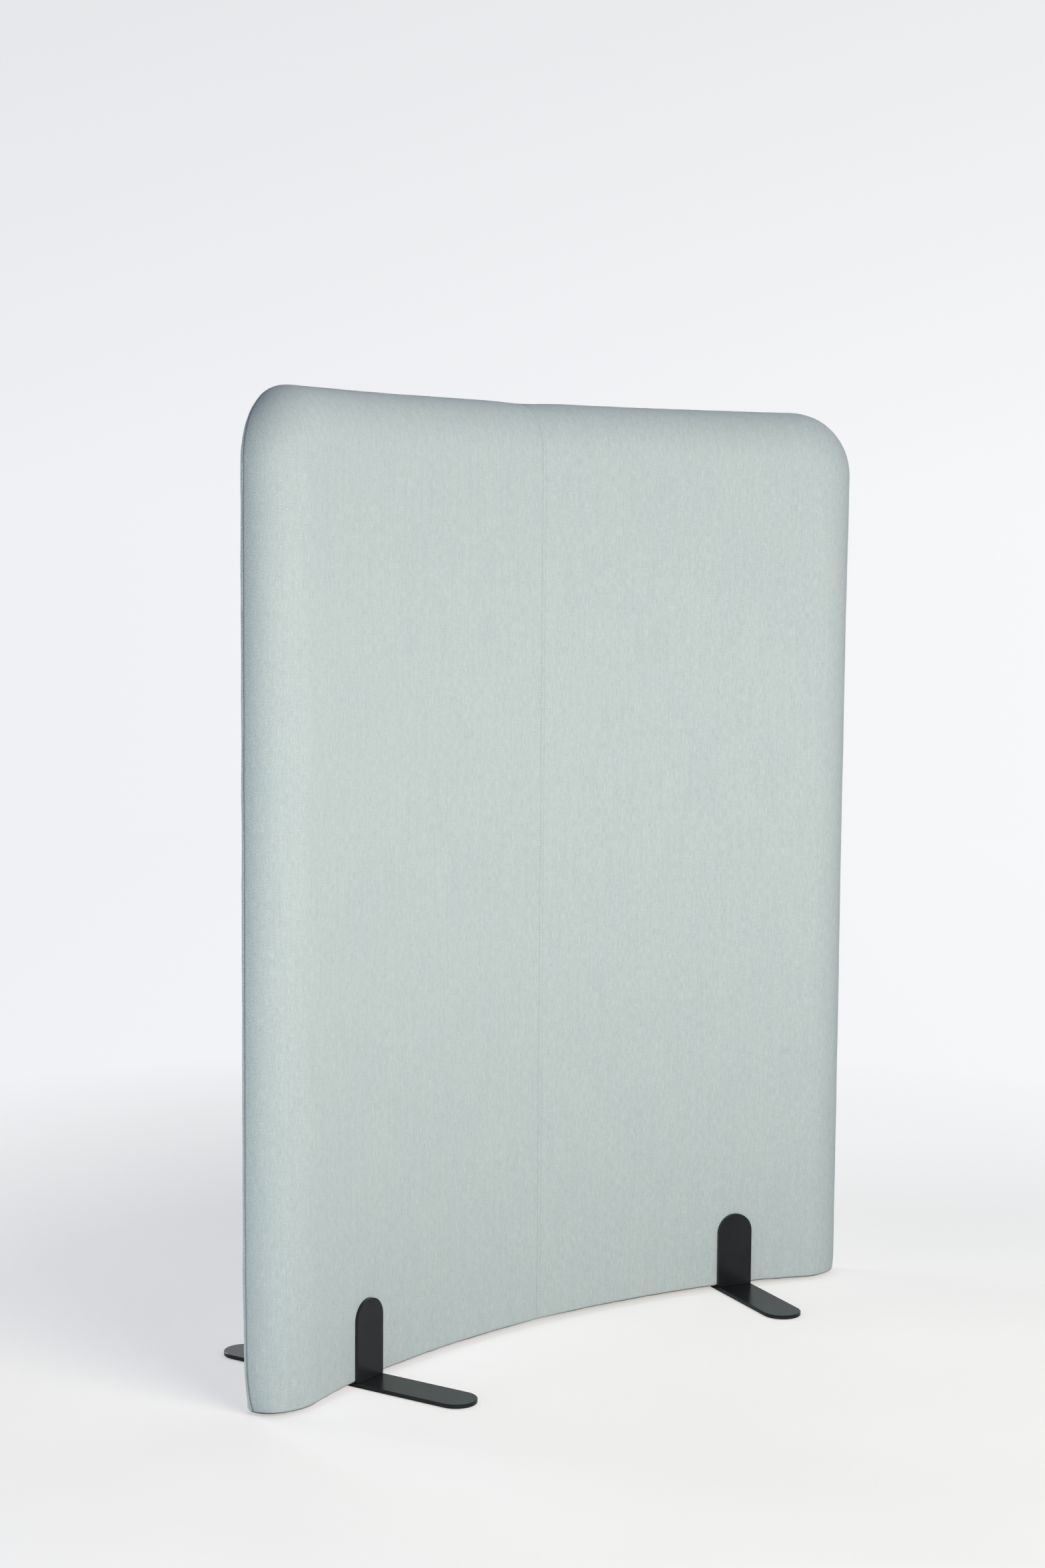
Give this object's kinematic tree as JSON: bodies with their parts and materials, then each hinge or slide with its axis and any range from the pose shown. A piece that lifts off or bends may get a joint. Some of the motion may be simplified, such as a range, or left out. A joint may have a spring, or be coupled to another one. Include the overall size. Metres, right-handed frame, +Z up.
{
  "type": "acoustic divider screen",
  "caption": "Freestanding curved acoustic screen: a padded, fabric-covered panel with rounded top corners and a central front seam, held upright in flat steel T-shaped brackets.",
  "frame": {"origin": "on the floor, midway between the two feet, at the bottom centre of the bounding box", "axes": "+Z up; +X to the right along the panel; -Y towards the hollow side of the curve"},
  "size_m": [1.1802, 0.4252, 1.4073],
  "materials": {
    "cover_fabric": "woven melange upholstery in pale grey-green, matt",
    "lining_fabric": "black non-woven, matt",
    "foam": "open-cell foam, matt",
    "acoustic_infill": "grey felted fibre batt, matt",
    "board": "thin bent plywood, raw",
    "timber": "laminated timber, raw",
    "black_steel": "black powder coat, semi-gloss",
    "pad": "thin black self-adhesive sheet, matt",
    "black_screw": "black oxide",
    "zinc_steel": "zinc plated"
  },
  "bodies": {
    "root": {"back_board": "board", "back_cover": "cover_fabric", "back_foam": "foam", "bottom_lining": "lining_fabric", "bottom_rail": "timber", "bottom_staples": "zinc_steel", "centre_stile": "timber", "edge_foam": "foam", "front_board": "board", "front_cover_left": "cover_fabric", "front_cover_right": "cover_fabric", "front_foam": "foam", "left_back_upright": "black_steel", "left_corner_block": "timber", "left_foot_pad": "pad", "left_foot_plate": "black_steel", "left_front_upright": "black_steel", "left_infill": "acoustic_infill", "left_inserts": "zinc_steel", "left_screws": "black_screw", "left_stile": "timber", "left_weld_beads": "black_steel", "right_back_upright": "black_steel", "right_corner_block": "timber", "right_foot_pad": "pad", "right_foot_plate": "black_steel", "right_front_upright": "black_steel", "right_infill": "acoustic_infill", "right_inserts": "zinc_steel", "right_screws": "black_screw", "right_stile": "timber", "right_weld_beads": "black_steel", "top_rail": "timber"}
  },
  "joints": []
}
